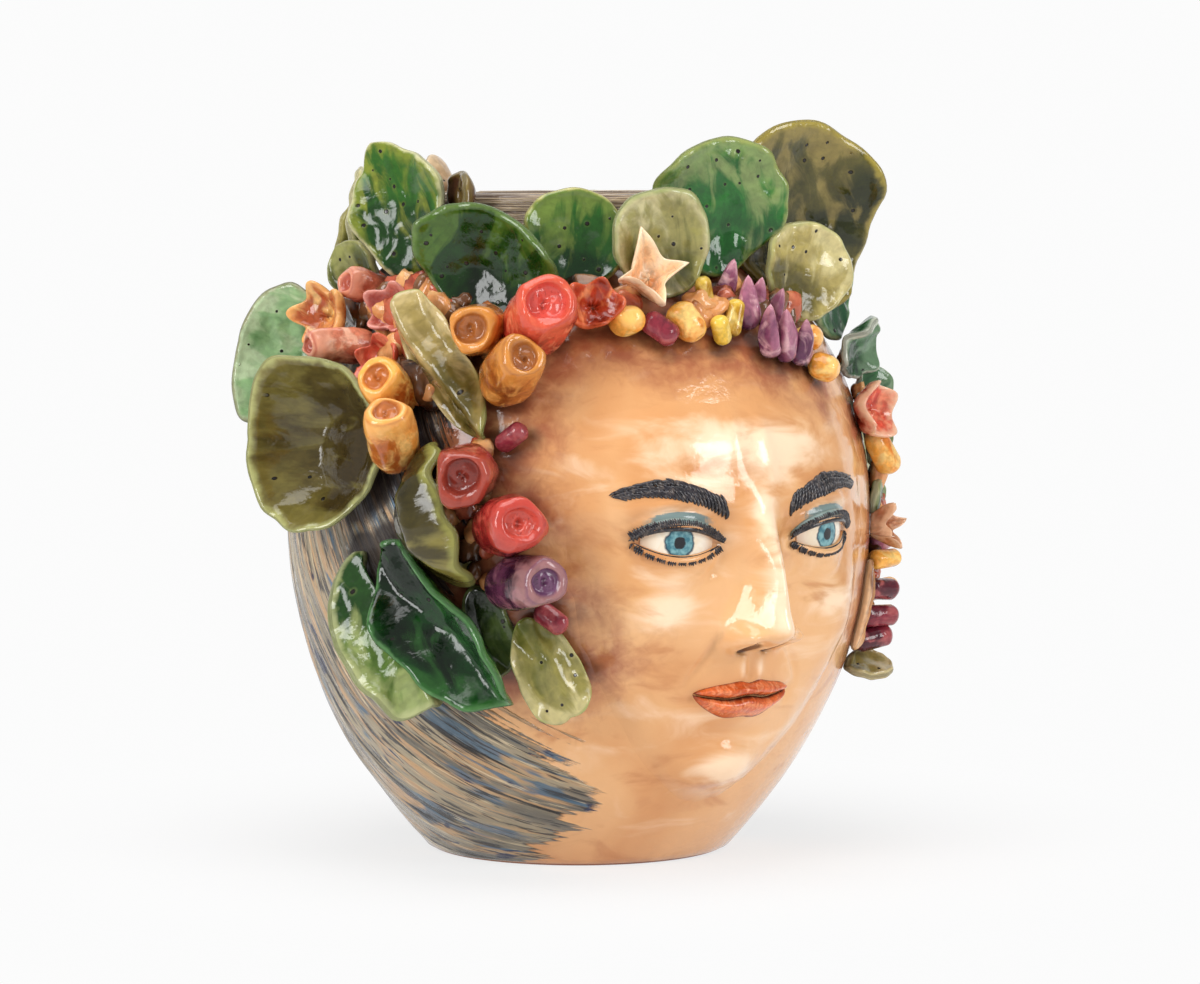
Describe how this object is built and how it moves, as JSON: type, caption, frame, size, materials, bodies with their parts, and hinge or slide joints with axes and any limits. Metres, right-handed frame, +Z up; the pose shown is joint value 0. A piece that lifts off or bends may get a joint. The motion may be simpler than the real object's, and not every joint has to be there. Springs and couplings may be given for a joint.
{
  "type": "ceramic head jar",
  "caption": "Round glazed ceramic jar with an open collar, a modelled face on one side and a wreath of cactus pads, prickly pear fruit, flowers and petals.",
  "frame": {"origin": "on the pot's axis, on the plane that the foot stands on", "axes": "+Z up along the pot's axis, out of the mouth; the face looks along -Y; -X is the jar's own right-hand side"},
  "size_m": [0.3589, 0.3235, 0.368],
  "materials": {
    "clay_body": "gloss",
    "skin_glaze": "gloss",
    "white_glaze": "gloss",
    "coral_glaze": "gloss",
    "dark_slip": "gloss",
    "green_glaze": "gloss",
    "brown_glaze": "gloss",
    "olive_glaze": "gloss",
    "peach_glaze": "gloss",
    "orange_glaze": "gloss",
    "red_glaze": "gloss",
    "salmon_glaze": "gloss",
    "violet_glaze": "gloss",
    "pink_glaze": "gloss",
    "yellow_glaze": "gloss",
    "garnet_glaze": "gloss"
  },
  "bodies": {
    "root": {"pot_body": "clay_body", "face_slab": "skin_glaze", "nose": "skin_glaze", "eyes": "white_glaze", "eyelids": "skin_glaze", "upper_lip": "coral_glaze", "lower_lip": "coral_glaze", "eyebrows": "dark_slip", "fan_pad_front": "green_glaze", "fan_pad_back": "green_glaze", "brown_pad_near": "brown_glaze", "brown_pad_far": "brown_glaze", "crown_pad_1": "green_glaze", "crown_pad_2": "green_glaze", "crown_pad_3": "olive_glaze", "crown_pad_4": "green_glaze", "crown_pad_5": "olive_glaze", "crown_pad_6": "olive_glaze", "crown_pad_7": "green_glaze", "left_temple_pad_1": "green_glaze", "left_temple_pad_2": "green_glaze", "left_temple_pad_3": "olive_glaze", "left_cheek_pad": "green_glaze", "jaw_slab": "peach_glaze", "left_jaw_pad": "olive_glaze", "right_ear_pad": "green_glaze", "right_back_pad": "olive_glaze", "cupped_pad": "olive_glaze", "folded_pad_upper": "olive_glaze", "folded_pad_lower": "olive_glaze", "hanging_pad_1": "green_glaze", "hanging_pad_2": "green_glaze", "hanging_pad_3": "olive_glaze", "hanging_pad_4": "green_glaze", "left_side_pad_1": "green_glaze", "left_side_pad_2": "olive_glaze", "back_pad_1": "green_glaze", "back_pad_2": "olive_glaze", "crown_fruit_1": "orange_glaze", "crown_fruit_2": "orange_glaze", "crown_fruit_3": "red_glaze", "ear_fruit_1": "salmon_glaze", "ear_fruit_2": "salmon_glaze", "ear_fruit_3": "orange_glaze", "ear_fruit_4": "orange_glaze", "temple_fruit_1": "red_glaze", "temple_fruit_2": "red_glaze", "temple_fruit_3": "violet_glaze", "peach_star_crown": "peach_glaze", "peach_star_ear": "peach_glaze", "pink_star_ear": "pink_glaze", "red_flower_crown": "red_glaze", "red_flower_ear": "red_glaze", "red_flower_temple": "red_glaze", "peach_star_jaw": "peach_glaze", "orange_berries": "orange_glaze", "yellow_petals": "yellow_glaze", "violet_petals": "violet_glaze", "garnet_petals": "garnet_glaze"}
  },
  "joints": []
}
